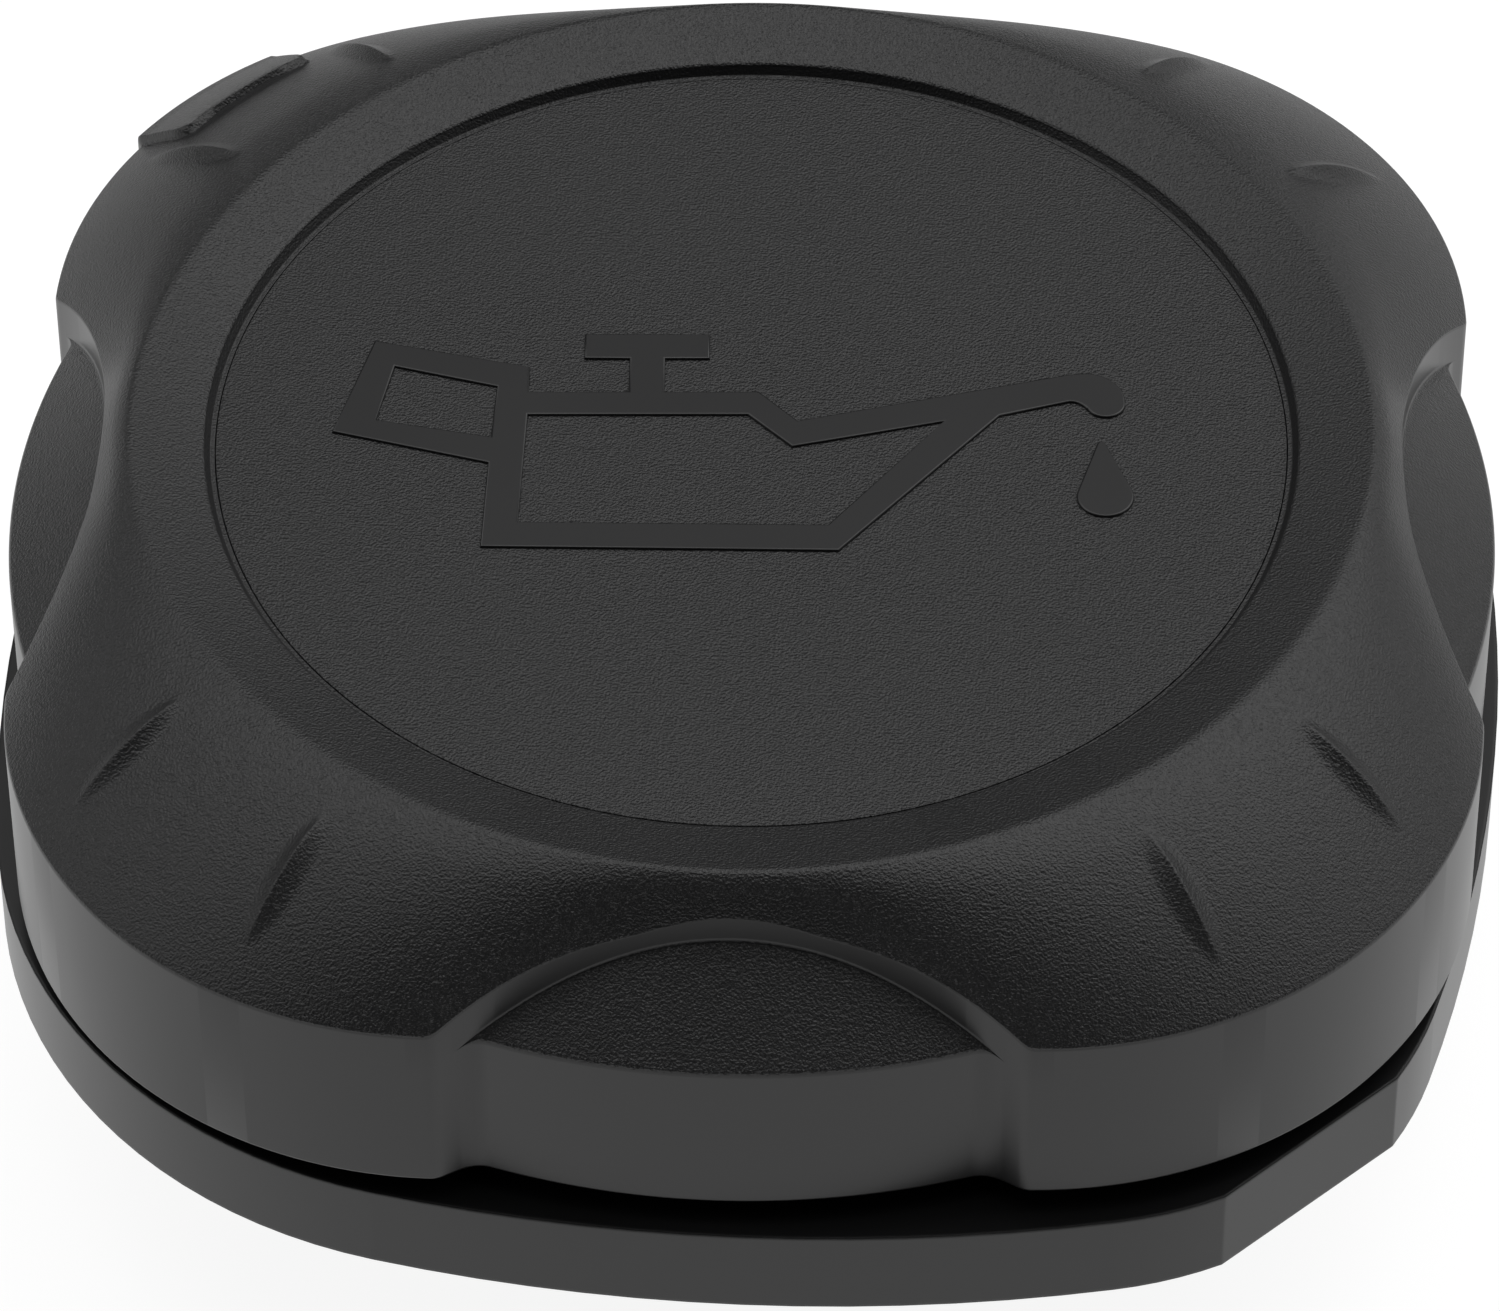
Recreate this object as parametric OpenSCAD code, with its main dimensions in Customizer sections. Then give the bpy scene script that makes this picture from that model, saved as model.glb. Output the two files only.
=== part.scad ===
// Oil filler cap for an engine: a four-lobed hand grip over a bayonet closure body with a seal ring.
// The cap stands on the end of its neck, with the origin at the middle of that end and +Z up.

/* [Heights] */
// Height of the neck below the flange plate
neck_drop = 12; // [10:0.5:16]
// Height of the flange plate's wall
plate_h = 4.9; // [4.4:0.1:7]
// Open gap between the flange plate and the grip's skirt
skirt_gap = 1.5; // [0.8:0.1:2.5]
// Height of the grip's upright skirt
skirt_h = 10; // [9:0.5:14]
// Fall of the bevel from the ring's crest to the skirt
bevel_h = 6.2; // [5.4:0.1:8]

/* [Grip] */
// Radius of the round arc of each lobe
lobe_r = 21.7; // [20.5:0.1:23]
// Reach of each lobe past the top ring
lobe_reach = 10.7; // [9:0.1:12]
// Reach of the bevel's plan past the top ring between the lobes, before the scallops are cut
waist_reach = 3.3; // [2.8:0.1:4.5]
// Width of the top ring
ring_w = 4; // [3.2:0.05:5]
// Height of the top ring's outer crest above its inner lip
ring_rise = 0.95; // [0.5:0.05:1.4]
// Wall of the grip moulding
grip_wall = 2.2; // [1.6:0.1:2.6]
// Distance of the wall in each finger scallop from the top ring
scallop_reach = 6.05; // [5.4:0.05:6.6]
// Radius of the round cut that makes each finger scallop
scallop_cut_r = 27; // [25:0.5:30]
// Least distance of that cut from the top ring
scallop_margin = 1.25; // [0.8:0.05:2]
// Height of the step where the cut meets the bevel
scallop_step = 1.5; // [0.8:0.05:2]
// Slope of the floor of each scallop in degrees
scallop_slope = 39.5; // [34:0.5:44]
// Soft edge between the bevel and the skirt
rim_round = 0.5; // [0.2:0.1:0.9]

/* [Grip ridges and tab] */
// Angle of each ridge from the middle of its lobe
ridge_angle = 9.1; // [6:0.1:12]
// Distance of the middle of each ridge from the top ring
ridge_place = 5.1; // [4:0.1:6]
// Length of each ridge along the bevel
ridge_length = 7; // [5:0.2:9]
// Height of each ridge's crest above the bevel
ridge_h = 0.4; // [0.3:0.05:0.9]
// Half width of each ridge at the middle
ridge_half_w = 0.65; // [0.5:0.05:1.2]
// Half of the angle that the index tab spans
tab_half_angle = 6.4; // [4:0.2:7]
// Length of the index tab, in from the lobe's edge
tab_length = 3.4; // [2:0.1:4]
// Height of the index tab above the bevel and the skirt
tab_h = 0.45; // [0.3:0.05:0.9]

/* [Centre disc] */
// Diameter of the centre disc
disc_d = 52; // [48:0.5:52.5]
// Thickness of the centre disc
disc_t = 2.2; // [1.8:0.1:3]
// Depth of the disc's face below the ring's inner lip
disc_sink = 0.5; // [0.3:0.05:1]
// Gap around the disc in its recess
disc_gap = 0.35; // [0.2:0.05:0.5]
// Height of the raised oil can symbol
symbol_h = 0.3; // [0.2:0.05:0.5]
// Radial place of the disc's snap pegs
peg_ring_r = 12; // [9:0.5:14]
// Diameter of each snap peg
peg_d = 3; // [2.4:0.1:3.6]

/* [Closure body] */
// Reach of the flange plate's sides past the wall in the finger scallops
plate_reach = 0.74; // [0.4:0.02:1.2]
// Radius of the gently bowed sides of the flange plate
plate_bow_r = 84; // [70:1:120]
// Radius of the rounded corners of the flange plate
plate_corner_r = 25.9; // [22:0.1:28]
// Radius of the fourth corner, which is cut straight
plate_flat_corner_r = 19.7; // [17:0.1:24]
// Reach of that straight cut past the plate's sides
plate_flat_reach = 3.7; // [3:0.02:4.2]
// Turn of the straight cut from the corner's middle in degrees
plate_flat_turn = 1.2; // [0:0.1:2]
// Turn of the flange plate against the grip in degrees
plate_turn = -3.4; // [-6:0.2:0]
// Wall and floor of the closure moulding
body_wall = 2; // [1.6:0.1:2.4]
// Outer radius of the neck
neck_r = 22.5; // [21:0.1:23.5]
// Step from the neck down to the pilot at its end
pilot_step = 1; // [0.6:0.1:1.4]
// Reach of the bayonet lugs past the neck
lug_reach = 3.7; // [2.8:0.1:4.2]
// Angle that each bayonet lug spans
lug_angle = 58; // [40:1:70]
// Height of the bayonet lugs at their thick end
lug_h = 3.8; // [3:0.1:4]
// Rise of the ramp along each lug
lug_rise = 1.2; // [0.6:0.1:1.6]
// Outer radius of the hub that carries the grip
hub_r = 19.5; // [18.5:0.1:20]
// Width of the flat seat outside the seal ring
seat_margin = 2.1; // [1.2:0.1:3]
// Depth of the seal's seat above the plate's rim
seat_sink = 0.4; // [0.2:0.1:0.8]

/* [Seal and fits] */
// Height of the seal ring
seal_h = 2.8; // [2.2:0.1:3.4]
// Radial width of the seal ring
seal_w = 4.4; // [3.5:0.1:5]
// Width of the snap legs
clip_w = 8; // [6:0.5:9]
// Thickness of the snap legs
clip_t = 1.8; // [1.4:0.1:2]
// Reach of the hook at the end of each snap leg
clip_hook = 0.9; // [0.6:0.1:1]
// Thickness of the ribs in the grip
rib_t = 1.6; // [1.2:0.1:2]
// Clearance round the snap legs and the drive ribs
fit_gap = 0.25; // [0.15:0.05:0.35]

/* [Hidden] */
black = [0.13, 0.13, 0.14];
disc_black = [0.16, 0.16, 0.17];
rubber_black = [0.08, 0.08, 0.08];

// heights, from the neck's end up
plate_z = neck_drop;
plate_top_z = plate_z + plate_h;
skirt_z = plate_top_z + skirt_gap;
rim_z = skirt_z + skirt_h;
ring_crest_z = rim_z + bevel_h;
ring_lip_z = ring_crest_z - ring_rise;
disc_top_z = ring_lip_z - disc_sink;
disc_seat_z = disc_top_z - disc_t;
cup_z = disc_seat_z - body_wall;

// plan of the grip
recess_r = disc_d / 2 + disc_gap;
ring_r = recess_r + ring_w;
lobe_offset = ring_r + lobe_reach - lobe_r;
waist_r = ring_r + waist_reach;
scallop_wall_r = ring_r + scallop_reach;
scallop_near_r = ring_r + scallop_margin;
cut_centre_r = scallop_near_r + scallop_cut_r;
ridge_mid_r = ring_r + ridge_place;
tab_inner_r = ring_r + lobe_reach - tab_length;
waist_blend = 2;
bevel_start = 0.6 * bevel_h;
bevel_curve = bevel_h - bevel_start;
near_t = (scallop_near_r - ring_r) / (waist_r - ring_r);
near_floor_z = bevel_z(near_t) - scallop_step;
scallop_rim_z = near_floor_z - (scallop_wall_r - scallop_near_r) * tan(scallop_slope);

// plan of the closure body
plate_side_r = scallop_wall_r + plate_reach;
plate_flat_r = plate_side_r + plate_flat_reach;
pilot_r = neck_r - pilot_step;
lug_r = neck_r + lug_reach;
seat_r = neck_r + seal_w + seat_margin;
seat_z = plate_z + seat_sink;

// ribs, clips and drive
rib_bottom_z = skirt_z + 0.6;
rib_inner_r = hub_r + 1.5;
drive_inner_r = hub_r - 3.5;
hub_wall = 2.2;
clip_side = 1;
clip_r = seat_r + 2 * clip_side;
floor_z = plate_top_z - body_wall;
hook_h = 1.6;
far = 60;
big = 200;
steps = 88;

// radius of the grip's plan at angle a: a lobe at every 45 + 90 k degrees, blended into the round waist
function fold(a) = a - 45 - 90 * round((a - 45) / 90);
function lobe_plan_r(a) =
    lobe_offset * cos(fold(a)) + sqrt(pow(lobe_r, 2) - pow(lobe_offset * sin(fold(a)), 2));
function plan_r(a) =
    waist_r + ln(1 + exp(waist_blend * (lobe_plan_r(a) - waist_r))) / waist_blend;

// height of the bevel where t runs from 0 at the ring's edge to 1 at the skirt
function bevel_z(t) = ring_crest_z - bevel_start * t - bevel_curve * t * t;

// levels of the lobed form from the top ring down, as [blend to the lobed plan, step inwards, height]
ring_slope = ring_rise / ring_w;
ring_levels = [
    [0, ring_w + disc_gap, ring_lip_z - disc_gap * ring_slope],
    [0, 0.7, ring_crest_z - 0.7 * ring_slope],
    [0, 0.2, ring_crest_z - 0.1],
    [0.03, 0, ring_crest_z - 0.19]
];
bevel_levels = [for (t = [0.1, 0.25, 0.4, 0.6, 0.8]) [t, 0, bevel_z(t)]];
rim_levels = [
    [1, 1.2 * rim_round, rim_z + 0.75 * rim_round],
    [1, 0.4 * rim_round, rim_z + 0.05 * rim_round],
    [1, 0, rim_z - 0.9 * rim_round]
];
form_levels = concat(ring_levels, bevel_levels, rim_levels);

// solid with the lobed plan, drawn in by inset on every side, from the ring down to base_z
module lobed_form(inset, base_z) {
    levels = concat(
        [for (v = form_levels) [v[0], v[1] + inset, v[2] - inset]],
        [[1, inset, base_z]]
    );
    count = len(levels);
    points = [
        for (v = levels, i = [0:steps - 1])
            let (a = 360 * i / steps, r = ring_r + v[0] * (plan_r(a) - ring_r) - v[1])
                [r * cos(a), r * sin(a), v[2]]
    ];
    top = [for (i = [steps - 1:-1:0]) i];
    bottom = [for (i = [0:steps - 1]) (count - 1) * steps + i];
    sides = [
        for (k = [0:count - 2], i = [0:steps - 1], half = [0, 1])
            let (n = (i + 1) % steps, u = k * steps, d = (k + 1) * steps)
                half == 0 ? [u + i, u + n, d + n] : [u + i, d + n, d + i]
    ];
    polyhedron(points = points, faces = concat([top, bottom], sides));
}

// round inner form that shows in the four scallops, drawn in by inset
module scallop_floor(inset, base_z) {
    edge_z = scallop_rim_z + inset * tan(scallop_slope) - inset / cos(scallop_slope);
    edge_r = scallop_wall_r - inset;
    top_r = ring_r - 1;
    top_z = edge_z + (edge_r - top_r) * tan(scallop_slope);
    soft = 0.3;
    rotate_extrude($fn = 120)
        polygon([
            [0, base_z], [edge_r, base_z], [edge_r, edge_z - 1.3 * soft],
            [edge_r - 0.35 * soft, edge_z - 0.1 * soft],
            [edge_r - soft, edge_z + soft * tan(scallop_slope)],
            [top_r, top_z], [0, top_z]
        ]);
}

// the grip's form with its scallops; with inset it is the space inside
module grip_form(inset, base_z) {
    difference() {
        lobed_form(inset, base_z);
        for (a = [0:90:270])
            rotate(a)
                translate([cut_centre_r, 0, base_z - 1])
                    cylinder(r = scallop_cut_r + inset, h = far, $fn = 144);
    }
    scallop_floor(inset, base_z);
}

// one crescent ridge: part of a sharp-edged wheel that stands in the bevel along a radius
module ridge() {
    lobe_t = (ridge_mid_r - ring_r) / (plan_r(45 + ridge_angle) - ring_r);
    slope = atan((bevel_start + 2 * bevel_curve * lobe_t) / (plan_r(45 + ridge_angle) - ring_r));
    bulge = 0.12;
    rise = ridge_h + bulge;
    wheel_r = (pow(ridge_length / 2, 2) + pow(rise, 2)) / (2 * rise);
    root = 1.3;
    spread = root * ridge_half_w / ridge_h;
    arc = 2 * asin(ridge_length / 2 / wheel_r);
    translate([ridge_mid_r, 0, bevel_z(lobe_t)])
        rotate([0, slope, 0])
            translate([0, 0, ridge_h - wheel_r])
                rotate([90, 0, 0])
                    intersection() {
                        rotate_extrude($fn = 96)
                            polygon([[wheel_r - root, -spread], [wheel_r, 0], [wheel_r - root, spread]]);
                        linear_extrude(height = 2 * spread + 2, center = true)
                            polygon([[0, 0], [-far * sin(arc / 2), far], [far * sin(arc / 2), far]]);
                    }
}

// raised index tab over the edge of one lobe and down its skirt
module index_tab() {
    tab_soft = 0.6;
    intersection() {
        lobed_form(-tab_h, skirt_z);
        translate([0, 0, skirt_z - 1])
            linear_extrude(height = far)
                offset(r = tab_soft, $fn = 32)
                    offset(delta = -tab_soft)
                        difference() {
                            polygon([
                                [0, 0],
                                [far * cos(tab_half_angle), far * sin(tab_half_angle)],
                                [far * cos(tab_half_angle), -far * sin(tab_half_angle)]
                            ]);
                            circle(r = tab_inner_r, $fn = 128);
                        }
    }
}

// upright ribs inside the grip; every second one is a longer drive rib
module grip_ribs() {
    for (k = [0:7]) {
        inner_r = k % 2 == 0 ? drive_inner_r : rib_inner_r;
        rotate(22.5 + 45 * k)
            translate([inner_r, -rib_t / 2, rib_bottom_z])
                cube([far - inner_r, rib_t, far]);
    }
}

// snap leg that hangs from the roof through a window in the closure body
module clip() {
    roof_z = ring_crest_z - 1.2 * grip_wall;
    hook_top_z = floor_z - 0.1;
    translate([clip_r, -clip_w / 2, hook_top_z - hook_h])
        cube([clip_t, clip_w, roof_z - hook_top_z + hook_h]);
    translate([clip_r + clip_t, clip_w / 2, hook_top_z])
        rotate([90, 0, 0])
            linear_extrude(height = clip_w)
                polygon([[-0.2, 0], [clip_hook, 0], [clip_hook, -0.5], [0, -hook_h], [-0.2, -hook_h]]);
}

module grip_shell() {
    color(black) {
        difference() {
            union() {
                grip_form(0, skirt_z);
                for (lobe = [0:3], side = [-1, 1])
                    rotate(45 + 90 * lobe + side * ridge_angle)
                        ridge();
                rotate(135)
                    index_tab();
            }
            difference() {
                grip_form(grip_wall, skirt_z - 1);
                translate([0, 0, cup_z])
                    cylinder(r = recess_r + grip_wall, h = far, $fn = 96);
                grip_ribs();
            }
            translate([0, 0, disc_seat_z])
                cylinder(r = recess_r, h = far, $fn = 128);
            for (a = [90:120:330])
                rotate(a)
                    translate([peg_ring_r, 0, cup_z - 1])
                        cylinder(d = peg_d + 2 * fit_gap, h = far, $fn = 32);
        }
        for (a = [45:90:315])
            rotate(a)
                clip();
    }
}

// flat outline of the oil can with its spout, handle, plunger and drop, in the disc's own frame
module oil_can() {
    line_w = 1.75;
    // can body with its spout, and the space inside
    difference() {
        polygon([
            [-12.77, -8.06], [4.43, -7.89], [12.05, 1.6], [15.56, 2.69], [16.2, 4.68], [15.41, 4.59],
            [2.24, 1.01], [0.29, 3], [-10.84, 2.72], [-12.68, -2.29]
        ]);
        polygon([
            [-11.03, -6.31], [3.87, -6.13], [9.29, 1.12], [2, -0.81], [-0.2, 1.37], [-10.91, 1.1]
        ]);
    }
    // hooked tip of the spout
    difference() {
        hull() {
            translate([16.35, 2.95])
                circle(r = 1.75, $fn = 48);
            translate([17.25, 2.2])
                circle(r = 0.95, $fn = 32);
        }
        translate([14.9, 1.15])
            circle(r = 1.62, $fn = 48);
    }
    // handle behind the body
    difference() {
        polygon([[-18.67, 6.14], [-10.97, 4.48], [-10.8, 0], [-12.5, -2.3], [-20.37, -0.33]]);
        polygon([[-17.58, 4.32], [-12.51, 3.03], [-12.63, -0.48], [-18.28, 0.56]]);
    }
    // plunger on top
    rotate(1.2) {
        translate([-8.22, 5.3])
            square([6.15, line_w]);
        translate([-6, 2])
            square([line_w, 4]);
    }
    // falling drop
    hull() {
        translate([17.19, -3.86])
            circle(r = 1.38, $fn = 40);
        translate([16.99, -0.25])
            circle(r = 0.25, $fn = 20);
    }
}

module centre_disc() {
    edge = 0.3;
    barb = 0.2;
    barb_h = 1.1;
    color(disc_black) {
        translate([0, 0, disc_seat_z])
            rotate_extrude($fn = 128)
                polygon([
                    [0, 0], [disc_d / 2, 0], [disc_d / 2, disc_t - edge],
                    [disc_d / 2 - 0.3 * edge, disc_t - 0.3 * edge], [disc_d / 2 - edge, disc_t], [0, disc_t]
                ]);
        translate([0, 0, disc_top_z - 0.5])
            linear_extrude(height = 0.5 + symbol_h)
                oil_can();
        for (a = [90:120:330])
            rotate(a)
                translate([peg_ring_r, 0, cup_z])
                    rotate_extrude($fn = 32)
                        polygon([
                            [0, body_wall + 0.5], [peg_d / 2, body_wall + 0.5], [peg_d / 2, -0.1],
                            [peg_d / 2 + fit_gap + barb, -0.1], [peg_d / 2 + fit_gap + barb, -0.35],
                            [peg_d / 2 - barb, -barb_h], [0, -barb_h]
                        ]);
    }
}

// four gently bowed sides, drawn in by inset
module plate_sides(inset) {
    intersection_for (a = [0:90:270])
        rotate(a)
            translate([plate_side_r - plate_bow_r, 0])
                circle(r = plate_bow_r - inset, $fn = 256);
}

// middle of a round corner between two bowed sides, and where its arc meets them
function corner_place(r) =
    sqrt(pow(plate_bow_r - r, 2) - pow(plate_bow_r - plate_side_r, 2) / 2)
    - (plate_bow_r - plate_side_r) * sqrt(0.5);
function corner_touch(r) = corner_place(r) * sqrt(0.5) * plate_bow_r / (plate_bow_r - r);

// plan of the flange plate: three rounded corners and a fourth with a straight cut
module plate_plan(inset) {
    touch = corner_touch(plate_corner_r);
    cut_touch = corner_touch(plate_flat_corner_r);
    rotate(plate_turn)
        difference() {
            union() {
                intersection() {
                    plate_sides(inset);
                    union() {
                        square([big, 2 * touch], center = true);
                        square([2 * touch, big], center = true);
                        translate([0, -cut_touch])
                            square([big, cut_touch]);
                        translate([0, -big])
                            square([cut_touch, big]);
                    }
                }
                for (a = [45, 135, 225])
                    rotate(a)
                        translate([corner_place(plate_corner_r), 0])
                            circle(r = plate_corner_r - inset, $fn = 128);
                rotate(-45)
                    translate([corner_place(plate_flat_corner_r), 0])
                        circle(r = plate_flat_corner_r - inset, $fn = 128);
            }
            rotate(plate_flat_turn - 45)
                translate([plate_flat_r - inset, -big / 2])
                    square([big, big]);
        }
}

// bayonet lug with a sloping upper face and an end stop
module lug() {
    low_z = 3.6;
    half = lug_angle / 2;
    stop_w = 2.2;
    stop_top_z = seat_z - seal_h - 0.4;
    intersection() {
        translate([0, 0, low_z])
            difference() {
                cylinder(r = lug_r, h = lug_h, $fn = 128);
                translate([0, 0, -1])
                    cylinder(r = neck_r - 1, h = lug_h + 2, $fn = 96);
            }
        linear_extrude(height = far)
            polygon([[0, 0], [far * cos(half), -far * sin(half)], [far * cos(half), far * sin(half)]]);
        translate([0, 0, low_z + lug_h - lug_rise / 2])
            rotate([atan(lug_rise / (2 * lug_r * sin(half))), 0, 0])
                translate([-far, -far, -far])
                    cube([2 * far, 2 * far, far]);
    }
    rotate(half - 2)
        translate([neck_r - 1, -stop_w / 2, low_z])
            cube([lug_r - neck_r + 0.4, stop_w, stop_top_z - low_z]);
}

module closure_body() {
    pilot_h = 3;
    lead = 0.6;
    neck_wall = 2.4;
    pocket_ribs = 16;
    color(black) {
        // flange plate with a cored underside, ribs and four clip windows
        difference() {
            translate([0, 0, plate_z])
                linear_extrude(height = plate_h)
                    plate_plan(0);
            difference() {
                translate([0, 0, plate_z - 1])
                    linear_extrude(height = plate_h - body_wall + 1)
                        plate_plan(body_wall);
                translate([0, 0, seat_z])
                    cylinder(r = seat_r, h = far, $fn = 128);
                for (k = [0:pocket_ribs - 1])
                    rotate((k + 0.5) * 360 / pocket_ribs)
                        translate([seat_r - 1, -rib_t / 2, seat_z])
                            cube([far, rib_t, far]);
            }
            for (a = [45:90:315])
                rotate(a)
                    translate([clip_r - clip_side, -clip_w / 2 - fit_gap, 0])
                        cube([clip_side + clip_t + fit_gap, clip_w + 2 * fit_gap, far]);
            translate([0, 0, -1])
                cylinder(r = neck_r - neck_wall, h = floor_z + 1, $fn = 96);
        }
        // neck with its pilot end
        rotate_extrude($fn = 128)
            polygon([
                [neck_r - neck_wall, 0], [pilot_r - lead, 0], [pilot_r, lead], [pilot_r, pilot_h],
                [neck_r, pilot_h + pilot_step], [neck_r, seat_z + 1], [neck_r - neck_wall, seat_z + 1]
            ]);
        for (a = [20, 200])
            rotate(a)
                lug();
        // hub that carries the grip, slotted for the drive ribs
        difference() {
            translate([0, 0, plate_top_z - 0.5])
                cylinder(r = hub_r, h = cup_z - plate_top_z + 0.5, $fn = 96);
            translate([0, 0, plate_top_z])
                cylinder(r = hub_r - hub_wall, h = far, $fn = 96);
            for (k = [0:3])
                rotate(22.5 + 90 * k)
                    translate([0, -rib_t / 2 - fit_gap, rib_bottom_z - 2 * fit_gap])
                        cube([far, rib_t + 2 * fit_gap, far]);
        }
    }
}

// rubber ring on the neck under the plate, with two sealing lips below
module seal_ring() {
    lip = 0.5;
    color(rubber_black)
        translate([0, 0, seat_z - seal_h])
            rotate_extrude($fn = 128)
                polygon([
                    [neck_r, seal_h], [neck_r, 0.5], [neck_r + 0.3 * seal_w, 0],
                    [neck_r + 0.5 * seal_w, lip], [neck_r + 0.8 * seal_w, 0],
                    [neck_r + seal_w, 0.6], [neck_r + seal_w, seal_h]
                ]);
}

grip_shell();
centre_disc();
closure_body();
seal_ring();
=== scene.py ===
import math

import bmesh
import bpy
import numpy as np
from mathutils import Matrix, Vector


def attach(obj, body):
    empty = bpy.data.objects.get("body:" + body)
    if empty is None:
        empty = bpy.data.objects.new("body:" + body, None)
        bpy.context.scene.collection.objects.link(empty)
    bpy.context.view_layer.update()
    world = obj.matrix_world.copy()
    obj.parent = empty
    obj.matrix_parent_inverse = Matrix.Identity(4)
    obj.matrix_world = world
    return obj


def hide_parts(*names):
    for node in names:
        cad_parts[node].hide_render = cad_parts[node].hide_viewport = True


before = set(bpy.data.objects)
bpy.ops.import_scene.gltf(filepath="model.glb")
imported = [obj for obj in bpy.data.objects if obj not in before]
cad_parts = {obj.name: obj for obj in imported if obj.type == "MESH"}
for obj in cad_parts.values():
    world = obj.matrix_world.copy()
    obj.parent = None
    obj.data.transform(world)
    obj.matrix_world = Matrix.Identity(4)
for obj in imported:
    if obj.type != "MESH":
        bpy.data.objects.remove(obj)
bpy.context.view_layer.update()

# Hand grip
# One black glass-filled nylon moulding, grained in the tool on top and drawn smooth on its upright walls.
# Four lobes stand round a narrow top ring, with a finger scallop cut between each two, and it is open below.
MM = 0.001
NECK_DROP, PLATE_H, SKIRT_GAP, SKIRT_H = 12.0, 4.9, 1.5, 10.0
BEVEL_H, RING_RISE = 6.2, 0.95
LOBE_R, LOBE_OFFSET, WAIST_R, WAIST_BLEND = 21.7, 19.35, 33.65, 2.0
RING_R, GRIP_WALL = 30.35, 2.2
SCALLOP_WALL_R, SCALLOP_CUT_R, SCALLOP_NEAR_R = 36.4, 27.0, 31.6
SCALLOP_STEP, SCALLOP_SLOPE = 1.5, math.radians(39.5)
RIDGE_ANGLE, RIDGE_MID_R, RIDGE_LENGTH = 9.1, 35.45, 7.0
RIDGE_H, RIDGE_FOOT, RIDGE_SOFT, RIDGE_SHARPNESS = 0.45, 0.95, 0.08, 1.6
TAB_ANGLE, TAB_HALF_ANGLE, TAB_INNER_R, TAB_H = 135.0, 6.4, 37.65, 0.45
TAB_CORNER, TAB_FADE_OUT, TAB_FADE_IN, TAB_CROWN, TAB_BROW = 0.9, -0.2, 0.15, 1.15, 0.6
DISC_R, DISC_GAP, DISC_T, DISC_SINK = 26.0, 0.35, 2.2, 0.5
GROOVE_DEPTH, LEDGE_CLEAR, LIP_FOOT, LIP_LEAN = 0.03, 0.03, 0.1, 0.3
BODY_WALL = 2.0
TOP_BLEND, WALL_BLEND, STEP_ROUND, FLOOR_ROUND, SKIRT_ROUND = 0.25, 0.7, 0.5, 0.45, 0.25
SHARP_ANGLE = 38

PLATE_TOP_Z = NECK_DROP + PLATE_H
SKIRT_Z = PLATE_TOP_Z + SKIRT_GAP
RIM_Z = SKIRT_Z + SKIRT_H
CREST_Z = RIM_Z + BEVEL_H
LIP_Z = CREST_Z - RING_RISE
DISC_TOP_Z = LIP_Z - DISC_SINK
DISC_SEAT_Z = DISC_TOP_Z - DISC_T
CUP_Z = DISC_SEAT_Z - BODY_WALL
RECESS_R = DISC_R + DISC_GAP
CUT_CENTRE_R = SCALLOP_NEAR_R + SCALLOP_CUT_R
BEVEL_START = 0.6 * BEVEL_H
BEVEL_CURVE = BEVEL_H - BEVEL_START
NEAR_T = (SCALLOP_NEAR_R - RING_R) / (WAIST_R - RING_R)


def bevel_z(t):
    return CREST_Z - BEVEL_START * t - BEVEL_CURVE * t * t


SCALLOP_RIM_Z = bevel_z(NEAR_T) - SCALLOP_STEP - (SCALLOP_WALL_R - SCALLOP_NEAR_R) * math.tan(SCALLOP_SLOPE)


def from_lobe(angle):
    """Degrees from the middle line of the nearest lobe."""
    return angle - 45 - 90 * round((angle - 45) / 90)


def soft_min(a, b, width):
    h = max(width - abs(a - b), 0) / width
    return min(a, b) - h * h * width / 4


def soft_max(a, b, width):
    return -soft_min(-a, -b, width)


def bevel_plan_r(angle):
    """Radius where the bevel would reach the skirt's height, before the scallops are cut."""
    off = math.radians(from_lobe(angle))
    lobe = LOBE_OFFSET * math.cos(off) + math.sqrt(LOBE_R**2 - (LOBE_OFFSET * math.sin(off)) ** 2)
    return WAIST_R + math.log(1 + math.exp(WAIST_BLEND * (lobe - WAIST_R))) / WAIST_BLEND


def cut_r(angle):
    """Radius of the scallop's round cut, or a large one where it doesn't reach."""
    off = math.radians(45 - abs(from_lobe(angle)))
    side = SCALLOP_CUT_R**2 - (CUT_CENTRE_R * math.sin(off)) ** 2
    return CUT_CENTRE_R * math.cos(off) - math.sqrt(side) if side > 0 else 99.0


def floor_z(r):
    """Height of the scallop's sloping floor."""
    return SCALLOP_RIM_Z + (SCALLOP_WALL_R - r) * math.tan(SCALLOP_SLOPE)


def smooth_step(x, low, high):
    x = min(max((x - low) / (high - low), 0), 1)
    return x * x * (3 - 2 * x)


def rounded(path, radii, steps):
    """The path with each inner corner replaced by an arc, as steps + 1 points."""
    out = [path[0]]
    for i in range(1, len(path) - 1):
        p, a, b = (np.array(path[k], float) for k in (i, i - 1, i + 1))
        u, v = a - p, b - p
        lu, lv = np.linalg.norm(u), np.linalg.norm(v)
        if min(lu, lv) < 1e-4:
            out += [tuple(p)] * (steps + 1)
            continue
        u, v = u / lu, v / lv
        half = math.acos(np.clip(np.dot(u, v), -1, 1)) / 2
        if half > math.pi / 2 - 0.01:
            out += [tuple(p)] * (steps + 1)
            continue
        back = min(radii[i] / math.tan(half), 0.45 * lu, 0.45 * lv)
        radius = back * math.tan(half)
        centre = p + (u + v) / np.linalg.norm(u + v) * radius / math.sin(half)
        start, end = p + u * back - centre, p + v * back - centre
        turn = math.pi - 2 * half
        for k in range(steps + 1):
            f = k / steps
            arm = (math.sin((1 - f) * turn) * start + math.sin(f * turn) * end) / math.sin(turn)
            out.append(tuple(centre + arm))
    out.append(path[-1])
    return out


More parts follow.
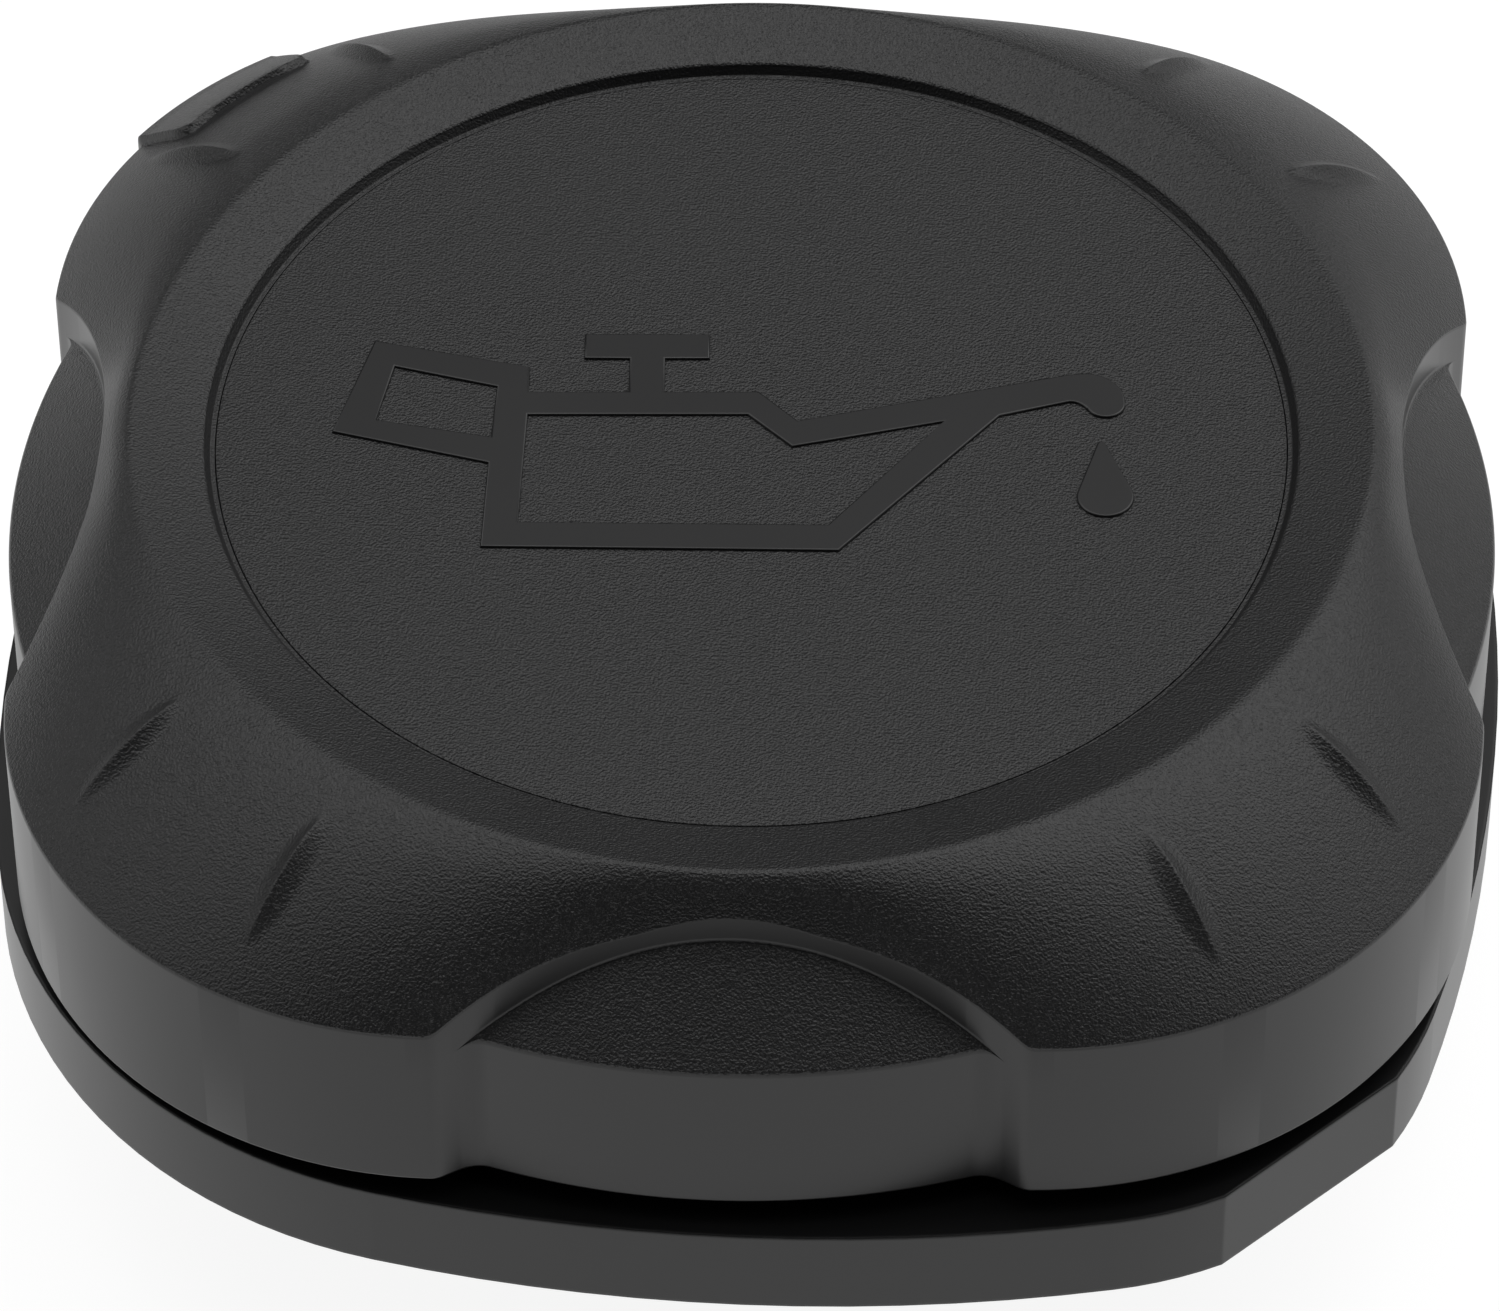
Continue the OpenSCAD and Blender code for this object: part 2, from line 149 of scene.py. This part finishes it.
def ridge_rise(angle, r):
    """How far the nearest lobe's two crescent ridges stand above the bevel."""
    off = abs(from_lobe(angle))
    plan = bevel_plan_r(angle)
    t = (RIDGE_MID_R - RING_R) / (plan - RING_R)
    slope = (BEVEL_START + 2 * BEVEL_CURVE * t) / (plan - RING_R)
    along = (r - RIDGE_MID_R) * math.sqrt(1 + slope * slope)
    share = 1 - (2 * along / RIDGE_LENGTH) ** 2
    if share <= 0:
        return 0
    aside = r * math.radians(abs(off - RIDGE_ANGLE))
    aside = math.hypot(aside, RIDGE_SOFT) - RIDGE_SOFT
    across = max(1 - aside / (RIDGE_FOOT * math.sqrt(share)), 0)
    return RIDGE_H * share * across**RIDGE_SHARPNESS * math.sqrt(1 + slope * slope)


def tab_share(angle, r):
    """1 on the index tab and 0 beside it, with a soft edge and rounded corners."""
    side = math.radians(TAB_HALF_ANGLE - abs(angle - TAB_ANGLE)) * r
    inside = soft_min(side, r - TAB_INNER_R, TAB_CORNER)
    return smooth_step(inside, TAB_FADE_OUT, TAB_FADE_IN)


BEVEL_STEPS = 40
EDGE_STEPS = 4
RING_STEPS = 12
LIP_ROUND = 0.3
RING_SLOPE = RING_RISE / (RING_R - RECESS_R)
SHOULDER_RISE, SHOULDER_FALL, SHOULDER_SOFT, CREST_SOFT = 0.25, 0.12, 1.1, 0.15
CREST_IN, CREST_OUT = 0.9, 0.35


def crown_z(r, plan):
    """Height of the top: the dished ring, its soft shoulder and the bevel."""
    past = r - RING_R
    shoulder = CREST_Z + SHOULDER_RISE - SHOULDER_FALL * past
    bevel = soft_min(shoulder, bevel_z(past / (plan - RING_R)), SHOULDER_SOFT)
    return soft_min(CREST_Z + RING_SLOPE * past, bevel, CREST_SOFT)


def grip_profile(angle):
    """Outer and inner section of the grip at one angle, from the disc's recess outwards and back in."""
    plan = bevel_plan_r(angle)
    top_r = soft_min(plan, cut_r(angle), TOP_BLEND)
    wall_r = soft_max(top_r, SCALLOP_WALL_R, WALL_BLEND)
    # shallow groove round the disc, and the ring from its leaning inner edge over its crest
    ledge_r, ledge_z = DISC_R + LEDGE_CLEAR, DISC_TOP_Z - GROOVE_DEPTH
    foot_r = RECESS_R - LIP_FOOT
    ring_rs = np.linspace(RING_R - CREST_IN, RING_R + CREST_OUT, RING_STEPS + 1)
    ring = rounded(
        [
            (ledge_r, DISC_SEAT_Z), (ledge_r, ledge_z), (foot_r, ledge_z),
            (foot_r + LIP_LEAN, crown_z(foot_r + LIP_LEAN, plan)),
            (ring_rs[0], crown_z(ring_rs[0], plan)),
        ],
        [0, 0.03, 0.08, LIP_ROUND, 0],
        EDGE_STEPS + 2,
    )
    ring += [(r, crown_z(r, plan)) for r in ring_rs[1:-1]]
    # bevel, with a closer row of points where the tab's inner face stands
    rs = list(np.linspace(ring_rs[-1], top_r, BEVEL_STEPS + 1)[:-1])
    if tab_share(angle, TAB_INNER_R + 1) > 0:
        for shift in (-0.3, -0.2, -0.1, 0, 0.1, 0.2):
            k = int(np.argmin(np.abs(np.array(rs) - (TAB_INNER_R + shift))))
            rs[k] = TAB_INNER_R + shift
        rs.sort()
    bevel = []
    for r in rs:
        rise = ridge_rise(angle, r) + TAB_CROWN * TAB_H * tab_share(angle, r)
        bevel.append((r, crown_z(r, plan) + rise))
    # step, scallop floor and upright wall
    tab = TAB_H * tab_share(angle, top_r)
    edge_z = crown_z(top_r, plan) + TAB_BROW * tab
    step_r = top_r + tab
    wall = wall_r + tab
    walls = rounded(
        [
            bevel[-1], (step_r, edge_z), (step_r, floor_z(step_r)), (wall, floor_z(wall)),
            (wall, SKIRT_Z), (wall - GRIP_WALL, SKIRT_Z),
        ],
        [0, STEP_ROUND, STEP_ROUND, FLOOR_ROUND, SKIRT_ROUND, 0],
        EDGE_STEPS,
    )[1:]
    # inside: skirt, roof and the cup under the disc
    inner_wall = wall_r - GRIP_WALL
    cup_r = RECESS_R + GRIP_WALL
    shoulder_z = min(floor_z(wall_r) - 0.6, RIM_Z - 2.6) if top_r < wall_r - 0.3 else RIM_Z - 2.6
    under_z = CREST_Z - 4.2
    inside = [
        (inner_wall, shoulder_z),
        (0.5 * (inner_wall + cup_r), 0.5 * (shoulder_z + under_z) - 0.2),
        (cup_r + 0.2, under_z - 0.4),
        (cup_r, under_z - 0.6),
        (cup_r, CUP_Z),
    ]
    return ring, bevel, walls, inside


def refine(middles, off, half_width, step):
    """Closer angles round the places that lie off degrees to either side of the middles."""
    reach = int(half_width / step)
    return [a + s * off + k * step for a in middles for s in (-1, 1) for k in range(-reach, reach + 1)]


# closer sections where the scallops end and where ridges and the tab stand
SCALLOP_HALF_ANGLE = 20.3
scallop_lines, lobe_lines = [0, 90, 180, 270], [45, 135, 225, 315]
angles = list(np.arange(0, 360, 1.0))
angles += refine(scallop_lines, SCALLOP_HALF_ANGLE, 2.6, 0.2)
angles += refine(lobe_lines, RIDGE_ANGLE, 1.6, 0.1)
angles += refine(lobe_lines, RIDGE_ANGLE, 0.3, 0.05)
angles += refine([TAB_ANGLE], TAB_HALF_ANGLE, 1.2, 0.1)
angles = sorted({round(a % 360, 2) for a in angles})


def lathe(sections, angle_list):
    """Joins one section for each angle round the axis, and closes the two ends on the axis."""
    count, rows = len(angle_list), len(sections[0])
    points = [
        (r * math.cos(math.radians(a)) * MM, r * math.sin(math.radians(a)) * MM, z * MM)
        for a, section in zip(angle_list, sections)
        for r, z in section
    ]
    faces = []
    for i in range(count):
        j = (i + 1) % count
        for k in range(rows - 1):
            faces.append((i * rows + k, i * rows + k + 1, j * rows + k + 1, j * rows + k))
    for k, turn in ((0, 1), (rows - 1, -1)):
        hub = len(points)
        points.append((0, 0, sections[0][k][1] * MM))
        for i in range(count):
            j = (i + 1) % count
            ring = (hub, i * rows + k, j * rows + k)
            faces.append(ring[::turn])
    return points, faces


def finish_mesh(name, points, faces):
    """A piece from points and faces, cleaned, smooth and with its sharp edges marked."""
    mesh = bpy.data.meshes.new(name)
    mesh.from_pydata(points, [], faces)
    b = bmesh.new()
    b.from_mesh(mesh)
    bmesh.ops.remove_doubles(b, verts=b.verts, dist=1e-7)
    bmesh.ops.dissolve_degenerate(b, edges=b.edges, dist=1e-7)
    bmesh.ops.recalc_face_normals(b, faces=b.faces)
    b.to_mesh(mesh)
    b.free()
    mesh.shade_smooth()
    mesh.set_sharp_from_angle(angle=math.radians(SHARP_ANGLE))
    piece = bpy.data.objects.new(name, mesh)
    bpy.context.collection.objects.link(piece)
    return piece


sections = []
for a in angles:
    ring, bevel, walls, inside = grip_profile(a)
    sections.append(ring + bevel + walls + inside)
grip = finish_mesh("hand_grip", *lathe(sections, angles))


def radial_plate(angle, outline, width):
    """Upright plate of one width whose outline is given as (radius, height) in the plane at this angle."""
    turn = Matrix.Rotation(math.radians(angle), 4, "Z")
    points = [turn @ Vector((r, side * width / 2, z)) * MM for side in (-1, 1) for r, z in outline]
    count = len(outline)
    faces = [tuple(range(count)), tuple(range(2 * count - 1, count - 1, -1))]
    faces += [(k, k + count, (k + 1) % count + count, (k + 1) % count) for k in range(count)]
    return points, faces


def combine(piece, kind, parts):
    """Adds closed parts to a piece, or cuts them from it."""
    points, faces = [], []
    for part_points, part_faces in parts:
        faces += [tuple(i + len(points) for i in face) for face in part_faces]
        points += part_points
    tool = finish_mesh("tool", points, faces)
    step = piece.modifiers.new("step", "BOOLEAN")
    step.operation, step.solver, step.object = kind, "EXACT", tool
    result = bpy.data.meshes.new_from_object(piece.evaluated_get(bpy.context.evaluated_depsgraph_get()))
    result.set_sharp_from_angle(angle=math.radians(SHARP_ANGLE))
    piece.modifiers.clear()
    piece.data = result
    bpy.data.objects.remove(tool)


# Underneath are eight ribs, of which every second one also drives the body, and four snap legs with hooks.
RIB_T, RIB_BOTTOM_Z, DRIVE_INNER_R, RIB_INNER_R = 1.6, SKIRT_Z + 0.6, 16.0, 21.0
CLIP_R, CLIP_T, CLIP_W, HOOK_H, CLIP_HOOK, FIT_GAP = 31.2, 1.8, 8.0, 1.6, 0.9, 0.25
PEG_RING_R, PEG_D = 12.0, 3.0
CLOSURE_FLOOR_Z = PLATE_TOP_Z - BODY_WALL
plates = []
for k in range(8):
    inner_r = DRIVE_INNER_R if k % 2 == 0 else RIB_INNER_R
    outline = [
        (inner_r, RIB_BOTTOM_Z), (SCALLOP_WALL_R - 1, RIB_BOTTOM_Z), (SCALLOP_WALL_R - 1, RIM_Z - 1.4),
        (RING_R + 0.5, CREST_Z - 3.2), (RECESS_R + 1, CREST_Z - 3.2), (RECESS_R + 1, CUP_Z + 1),
        (inner_r, CUP_Z + 1),
    ]
    plates.append(radial_plate(22.5 + 45 * k, outline, RIB_T))
hook_z = CLOSURE_FLOOR_Z - 0.1
for k in range(4):
    outer_r = CLIP_R + CLIP_T
    outline = [
        (CLIP_R, hook_z - HOOK_H), (outer_r, hook_z - HOOK_H), (outer_r + CLIP_HOOK, hook_z - 0.5),
        (outer_r + CLIP_HOOK, hook_z), (outer_r, hook_z), (outer_r, CREST_Z - 2.6), (CLIP_R, CREST_Z - 2.6),
    ]
    plates.append(radial_plate(45 + 90 * k, outline, CLIP_W))
combine(grip, "UNION", plates)



def spoke(radius, degrees):
    return Vector((radius * math.cos(math.radians(degrees)), radius * math.sin(math.radians(degrees)), 0))


# Three holes in the cup's floor take the disc's pegs.
HOLE_SIDES = 48
peg_centres = [spoke(PEG_RING_R, 90 + 120 * k) for k in range(3)]
rim = [spoke(PEG_D / 2 + FIT_GAP, 360 / HOLE_SIDES * i) for i in range(HOLE_SIDES)]
holes = []
for centre in peg_centres:
    points = [(centre + p + Vector((0, 0, z))) * MM for z in (CUP_Z - 1, DISC_SEAT_Z + 1) for p in rim]
    faces = [tuple(range(HOLE_SIDES - 1, -1, -1)), tuple(range(HOLE_SIDES, 2 * HOLE_SIDES))]
    for i in range(HOLE_SIDES):
        j = (i + 1) % HOLE_SIDES
        faces.append((i, j, j + HOLE_SIDES, i + HOLE_SIDES))
    holes.append((points, faces))
combine(grip, "DIFFERENCE", holes)

# The large faces set the normals where a soft edge meets them.
weighted = grip.modifiers.new("normals", "WEIGHTED_NORMAL")
weighted.keep_sharp = True

# The grain is pressed into what faces up: the ring, the bevel and the scallops' floors.
grain_share = grip.data.attributes.new("grained", "FLOAT", "POINT")
normals = np.zeros(len(grip.data.vertices) * 3)
grip.data.vertices.foreach_get("normal", normals)
up = normals.reshape(-1, 3)[:, 2]
grain_share.data.foreach_set("value", np.clip((up - 0.35) / 0.25, 0, 1).astype(np.float32))


def noise(tree, scale, detail, vector):
    node = tree.nodes.new("ShaderNodeTexNoise")
    node.inputs["Scale"].default_value = scale
    node.inputs["Detail"].default_value = detail
    tree.links.new(vector, node.inputs["Vector"])
    return node.outputs["Fac"]


def maths(tree, kind, a, b, clamp=False):
    node = tree.nodes.new("ShaderNodeMath")
    node.operation = kind
    node.use_clamp = clamp
    for socket, value in zip(node.inputs, (a, b)):
        if hasattr(value, "is_output"):
            tree.links.new(value, socket)
        else:
            socket.default_value = value
    return node.outputs[0]


# Etched tool grain: fine pebbles, and slow patches of shine where it was handled. Where the tool was left
# smooth the plastic is shinier and looks a little deeper black.
PEBBLES_PER_M, PATCHES_PER_M = 8000, 60
SMOOTH_ROUGHNESS, PATCH_ROUGHNESS, GRAIN_ROUGHNESS = 0.29, 0.08, 0.06
DEEP_BLACK, SOFT_BLACK = (0.0050, 0.0050, 0.0053, 1), (0.0155, 0.0155, 0.0160, 1)
grain = bpy.data.node_groups.new("etched_grain", "ShaderNodeTree")
for name, kind, way in (
    ("Grained", "NodeSocketFloat", "INPUT"),
    ("Height", "NodeSocketFloat", "OUTPUT"),
    ("Roughness", "NodeSocketFloat", "OUTPUT"),
    ("Colour", "NodeSocketColor", "OUTPUT"),
):
    grain.interface.new_socket(name=name, in_out=way, socket_type=kind)
g_in = grain.nodes.new("NodeGroupInput")
g_out = grain.nodes.new("NodeGroupOutput")
place = grain.nodes.new("ShaderNodeTexCoord").outputs["Object"]
grained = g_in.outputs["Grained"]
pebbles = noise(grain, PEBBLES_PER_M, 1, place)
patches = noise(grain, PATCHES_PER_M, 2, place)
grain.links.new(maths(grain, "MULTIPLY", pebbles, grained), g_out.inputs["Height"])
handled = maths(grain, "ADD", SMOOTH_ROUGHNESS, maths(grain, "MULTIPLY", patches, PATCH_ROUGHNESS))
rough = maths(grain, "ADD", handled, maths(grain, "MULTIPLY", grained, GRAIN_ROUGHNESS))
grain.links.new(rough, g_out.inputs["Roughness"])
grained_half = maths(grain, "MULTIPLY", grained, 0.5)
depth = maths(grain, "ADD", grained_half, maths(grain, "MULTIPLY", patches, 0.5))
tint = grain.nodes.new("ShaderNodeMix")
tint.data_type = "RGBA"
tint.inputs["A"].default_value = DEEP_BLACK
tint.inputs["B"].default_value = SOFT_BLACK
grain.links.new(depth, tint.inputs["Factor"])
grain.links.new(tint.outputs["Result"], g_out.inputs["Colour"])


def moulded_plastic(name, bump, edge=0):
    """Black plastic with the etched grain, and its Grained input; an edge width softens sharp edges."""
    material = bpy.data.materials.new(name)
    material.use_nodes = True
    tree = material.node_tree
    shader = tree.nodes["Principled BSDF"]
    shader.inputs["IOR"].default_value = 1.5
    group = tree.nodes.new("ShaderNodeGroup")
    group.node_tree = grain
    relief = tree.nodes.new("ShaderNodeBump")
    relief.inputs["Distance"].default_value = bump * MM
    if edge:
        edges = tree.nodes.new("ShaderNodeBevel")
        edges.samples = 4
        edges.inputs["Radius"].default_value = edge * MM
        tree.links.new(edges.outputs["Normal"], relief.inputs["Normal"])
    tree.links.new(group.outputs["Height"], relief.inputs["Height"])
    tree.links.new(relief.outputs["Normal"], shader.inputs["Normal"])
    tree.links.new(group.outputs["Roughness"], shader.inputs["Roughness"])
    tree.links.new(group.outputs["Colour"], shader.inputs["Base Color"])
    return material, group.inputs["Grained"]


grip_plastic, grip_grained = moulded_plastic("grip_plastic", 0.065)
share = grip_plastic.node_tree.nodes.new("ShaderNodeAttribute")
share.attribute_name = "grained"
grip_plastic.node_tree.links.new(share.outputs["Fac"], grip_grained)
grip.data.materials.append(grip_plastic)
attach(grip, "root")
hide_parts("grip_shell")

# Centre disc
# A separate grained nylon disc, snapped into the ring with three barbed pegs. The oil can symbol is a low
# relief with soft edges and a smooth top.
DISC_EDGE, SYMBOL_H, SYMBOL_EDGE, SYMBOL_ROOT = 0.05, 0.14, 0.09, 0.4
PEG_BARB, BARB_H = 0.2, 1.1
disc_section = rounded(
    [
        (PEG_RING_R, DISC_SEAT_Z), (DISC_R, DISC_SEAT_Z),
        (DISC_R, DISC_TOP_Z), (PEG_RING_R, DISC_TOP_Z),
    ],
    [0, 0.1, DISC_EDGE, 0],
    6,
)
disc_turns = list(np.arange(0, 360, 1.5))
disc = finish_mesh("symbol_disc", *lathe([disc_section] * len(disc_turns), disc_turns))

barb_r = PEG_D / 2 + FIT_GAP + PEG_BARB
peg_section = [
    (PEG_D / 2, DISC_SEAT_Z + 0.5), (PEG_D / 2, CUP_Z - 0.1), (barb_r, CUP_Z - 0.1), (barb_r, CUP_Z - 0.35),
    (PEG_D / 2 - PEG_BARB, CUP_Z - BARB_H),
]
peg_turns = list(np.arange(0, 360, 10))
pegs = []
for centre in peg_centres:
    points, faces = lathe([peg_section] * len(peg_turns), peg_turns)
    pegs.append(([Vector(p) + centre * MM for p in points], faces))
combine(disc, "UNION", pegs)


def arc(x, y, radius, start, end, steps=16):
    turns = np.radians(np.linspace(start, end, steps + 1))
    return [(x + radius * math.cos(a), y + radius * math.sin(a)) for a in turns]


# can with its spout, plunger and handle, then the spaces inside the handle and the can, then the drop
symbol = [
    [(-12.77, -8.06), (4.43, -7.89), (12.05, 1.6)]
    + arc(15.45, 1.7, 0.97, 90, 28)
    + arc(17.2, 2.6, 0.97, 204, 360)
    + arc(16.2, 2.75, 1.95, 0, 90)
    + [
        (15.41, 4.59), (2.24, 1.01), (0.29, 3.0), (-4.31, 2.88), (-4.36, 5.21), (-2.18, 5.26), (-2.22, 7.01),
        (-8.37, 6.88), (-8.33, 5.13), (-6.11, 5.17), (-6.06, 2.84), (-10.93, 2.72), (-10.97, 4.48),
        (-18.67, 6.14), (-20.37, -0.33), (-12.68, -2.29),
    ],
    [(-17.58, 4.32), (-12.51, 3.03), (-12.63, -0.48), (-18.28, 0.56)],
    [(-11.03, -6.31), (3.87, -6.13), (9.29, 1.12), (2.0, -0.81), (-0.2, 1.37), (-10.91, 1.1)],
    arc(17.19, -3.86, 1.38, 164.2, 382.2, 32) + arc(16.99, -0.25, 0.2, 22.2, 164.2, 6),
]
relief = bpy.data.curves.new("relief", "CURVE")
relief.dimensions, relief.fill_mode = "2D", "BOTH"
relief.extrude = (SYMBOL_ROOT + SYMBOL_H) / 2 * MM - SYMBOL_EDGE * MM
relief.bevel_depth, relief.bevel_resolution, relief.offset = SYMBOL_EDGE * MM, 3, -SYMBOL_EDGE * MM
for outline in symbol:
    spline = relief.splines.new("POLY")
    spline.points.add(len(outline) - 1)
    for point, (x, y) in zip(spline.points, outline):
        point.co = (x * MM, y * MM, 0, 1)
    spline.use_cyclic_u = True
stamp = bpy.data.objects.new("relief", relief)
bpy.context.collection.objects.link(stamp)
solid = bpy.data.meshes.new_from_object(stamp.evaluated_get(bpy.context.evaluated_depsgraph_get()))
bpy.data.objects.remove(stamp)
lift = Vector((0, 0, DISC_TOP_Z + (SYMBOL_H - SYMBOL_ROOT) / 2)) * MM
symbol_points = [v.co + lift for v in solid.vertices]
combine(disc, "UNION", [(symbol_points, [tuple(f.vertices) for f in solid.polygons])])
for face in disc.data.polygons:
    if abs(face.normal.z) > 0.9999:
        face.use_smooth = False

disc_plastic, disc_grained = moulded_plastic("disc_plastic", 0.085)
tree = disc_plastic.node_tree
level = tree.nodes.new("ShaderNodeSeparateXYZ")
tree.links.new(tree.nodes.new("ShaderNodeTexCoord").outputs["Object"], level.inputs[0])
tree.links.new(maths(tree, "LESS_THAN", level.outputs["Z"], (DISC_TOP_Z + 0.02) * MM), disc_grained)
disc.data.materials.append(disc_plastic)
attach(disc, "root")
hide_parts("centre_disc")

# Closure body
# Smooth black nylon: the flange plate, the neck with its lugs and the hub under the grip are one moulding.
body_plastic, body_grained = moulded_plastic("body_plastic", 0.085, 0.25)
body_grained.default_value = 0
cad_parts["closure_body"].data.materials.clear()
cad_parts["closure_body"].data.materials.append(body_plastic)

# Seal ring
# Matt black rubber, stretched over the neck and held under the plate.
seal_rubber, seal_grained = moulded_plastic("seal_rubber", 0.02)
seal_grained.default_value = 1
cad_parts["seal_ring"].data.materials.clear()
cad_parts["seal_ring"].data.materials.append(seal_rubber)

# Floor, light and camera
# A white sweep that shows as the photograph's white ground and keeps a faint shadow of the cap.
# In what the cap mirrors, the sweep glows at one level for each side.
FLOOR_STRENGTH, GROUND_STRENGTH, GROUND_SHARE, FLOOR_HALF_WIDTH = 1.25, 1.2, 0.75, 3
FLOOR_LIGHT = {"front": 0.76, "left": 0.8, "back": 0.56, "right": 0.76}


def ramp(tree, factor, stops):
    node = tree.nodes.new("ShaderNodeValToRGB")
    node.color_ramp.interpolation = "LINEAR"
    marks = node.color_ramp.elements
    while len(marks) < len(stops):
        marks.new(0.5)
    for mark, (place, colour) in zip(marks, stops):
        mark.position = place
        mark.color = (*colour, 1)
    tree.links.new(factor, node.inputs["Fac"])
    return node.outputs["Color"]


def all_round(tree, around, levels):
    """Goes smoothly round the axis through the levels and back to the first."""
    levels = levels + levels[:1]
    return ramp(tree, around, [(i / (len(levels) - 1), level) for i, level in enumerate(levels)])


def round_about(tree, direction):
    """0 to 1 round the axis from the front, over left, back and right, and the direction's height."""
    axes = tree.nodes.new("ShaderNodeSeparateXYZ")
    tree.links.new(direction, axes.inputs[0])
    turn = maths(tree, "ARCTAN2", axes.outputs["X"], axes.outputs["Y"])
    return maths(tree, "ADD", maths(tree, "DIVIDE", turn, 2 * math.pi), 0.5), axes.outputs["Z"]


floor_mesh = bpy.data.meshes.new("floor")
sides = ((-1, -1), (1, -1), (1, 1), (-1, 1))
floor_corners = [(x * FLOOR_HALF_WIDTH, y * FLOOR_HALF_WIDTH, 0) for x, y in sides]
floor_mesh.from_pydata(floor_corners, [], [(0, 1, 2, 3)])
floor = bpy.data.objects.new("floor", floor_mesh)
bpy.context.collection.objects.link(floor)
floor_paint = bpy.data.materials.new("white_floor")
floor_paint.use_nodes = True
tree = floor_paint.node_tree
matt = tree.nodes["Principled BSDF"]
matt.inputs["Base Color"].default_value = (0.85, 0.85, 0.85, 1)
matt.inputs["Roughness"].default_value = 0.9
path = tree.nodes.new("ShaderNodeLightPath")
around = round_about(tree, tree.nodes.new("ShaderNodeTexCoord").outputs["Object"])[0]
glow = tree.nodes.new("ShaderNodeEmission")
tree.links.new(all_round(tree, around, [(v, v, v) for v in FLOOR_LIGHT.values()]), glow.inputs["Color"])
glow.inputs["Strength"].default_value = FLOOR_STRENGTH
white = tree.nodes.new("ShaderNodeEmission")
white.inputs["Strength"].default_value = GROUND_STRENGTH
in_mirror = tree.nodes.new("ShaderNodeMixShader")
tree.links.new(path.outputs["Is Glossy Ray"], in_mirror.inputs["Fac"])
tree.links.new(matt.outputs["BSDF"], in_mirror.inputs[1])
tree.links.new(glow.outputs["Emission"], in_mirror.inputs[2])
in_view = tree.nodes.new("ShaderNodeMixShader")
tree.links.new(maths(tree, "MULTIPLY", path.outputs["Is Camera Ray"], GROUND_SHARE), in_view.inputs["Fac"])
tree.links.new(in_mirror.outputs["Shader"], in_view.inputs[1])
tree.links.new(white.outputs["Emission"], in_view.inputs[2])
tree.links.new(in_view.outputs["Shader"], tree.nodes["Material Output"].inputs["Surface"])
floor_mesh.materials.append(floor_paint)

# The studio is a soft dome, bright at the sides and behind the cap and dark in front of it. For each of eight
# directions it has a level at the two heights of SIDE_HEIGHTS; it is dark at the horizon and has one level
# straight up. The levels here and in FLOOR_LIGHT were fitted to the photograph and rounded.
DOME_STRENGTH, ZENITH = 3.2, 0.46
SIDE_HEIGHTS = [36, 60]
SIDE_LIGHT = {
    "front": [0.0, 0.0],
    "front left": [0.0, 0.0],
    "left": [0.45, 0.3],
    "back left": [0.1, 0.8],
    "back": [0.0, 0.32],
    "back right": [0.55, 0.96],
    "right": [0.4, 0.36],
    "front right": [0.0, 0.0],
}

world = bpy.data.worlds.new("studio")
bpy.context.scene.world = world
world.use_nodes = True
tree = world.node_tree
tree.nodes.clear()
around, rise = round_about(tree, tree.nodes.new("ShaderNodeTexCoord").outputs["Generated"])
height = maths(tree, "DIVIDE", maths(tree, "ARCSINE", rise, 0), math.pi / 2, clamp=True)
dome = tree.nodes.new("ShaderNodeBackground")
# red, green and blue carry the three levels round about, and how much of each shows at a height
low, high = (h / 90 for h in SIDE_HEIGHTS)
levels = all_round(tree, around, [(a, b, ZENITH) for a, b in SIDE_LIGHT.values()])
shares = ramp(tree, height, [(0, (0, 0, 0)), (low, (1, 0, 0)), (high, (0, 1, 0)), (1, (0, 0, 1))])
light = tree.nodes.new("ShaderNodeVectorMath")
light.operation = "DOT_PRODUCT"
tree.links.new(levels, light.inputs[0])
tree.links.new(shares, light.inputs[1])
tree.links.new(light.outputs["Value"], dome.inputs["Color"])
dome.inputs["Strength"].default_value = DOME_STRENGTH
ground = tree.nodes.new("ShaderNodeBackground")
ground.inputs["Color"].default_value = (1, 1, 1, 1)
choose = tree.nodes.new("ShaderNodeMixShader")
tree.links.new(tree.nodes.new("ShaderNodeLightPath").outputs["Is Camera Ray"], choose.inputs["Fac"])
tree.links.new(dome.outputs["Background"], choose.inputs[1])
tree.links.new(ground.outputs["Background"], choose.inputs[2])
tree.links.new(choose.outputs["Shader"], tree.nodes.new("ShaderNodeOutputWorld").inputs["Surface"])

# A long lens looks down at 45.6 degrees, with the cap turned 1.9 degrees against it.
LOOK_DOWN, CAP_TURN, ROLL = math.radians(45.6), math.radians(1.9), math.radians(0.31)
DISTANCE, OFFSET_X, OFFSET_Y = 412.2, -0.116, -10.67
SENSOR_W, LENS_LENGTH = 36, 203.7
right = Vector((1, 0, 0))
upward = Vector((0, math.sin(LOOK_DOWN), math.cos(LOOK_DOWN)))
ahead = Vector((0, math.cos(LOOK_DOWN), -math.sin(LOOK_DOWN)))
eye = right * OFFSET_X + upward * OFFSET_Y - ahead * DISTANCE + Vector((0, 0, DISC_TOP_Z))
turned = Matrix.Rotation(CAP_TURN, 3, "Z")
cam_x = turned @ (math.cos(ROLL) * right - math.sin(ROLL) * upward)
cam_y = turned @ (math.sin(ROLL) * right + math.cos(ROLL) * upward)
cam_z = turned @ -ahead
lens = bpy.data.cameras.new("camera")
lens.sensor_width = SENSOR_W
lens.lens = LENS_LENGTH
lens.clip_start, lens.clip_end = 0.02, 20
camera = bpy.data.objects.new("camera", lens)
camera_turn = Matrix((cam_x, cam_y, cam_z)).transposed().to_4x4()
camera.matrix_world = Matrix.Translation(turned @ eye * MM) @ camera_turn
bpy.context.collection.objects.link(camera)
bpy.context.scene.camera = camera
bpy.context.scene.view_settings.view_transform = "Standard"
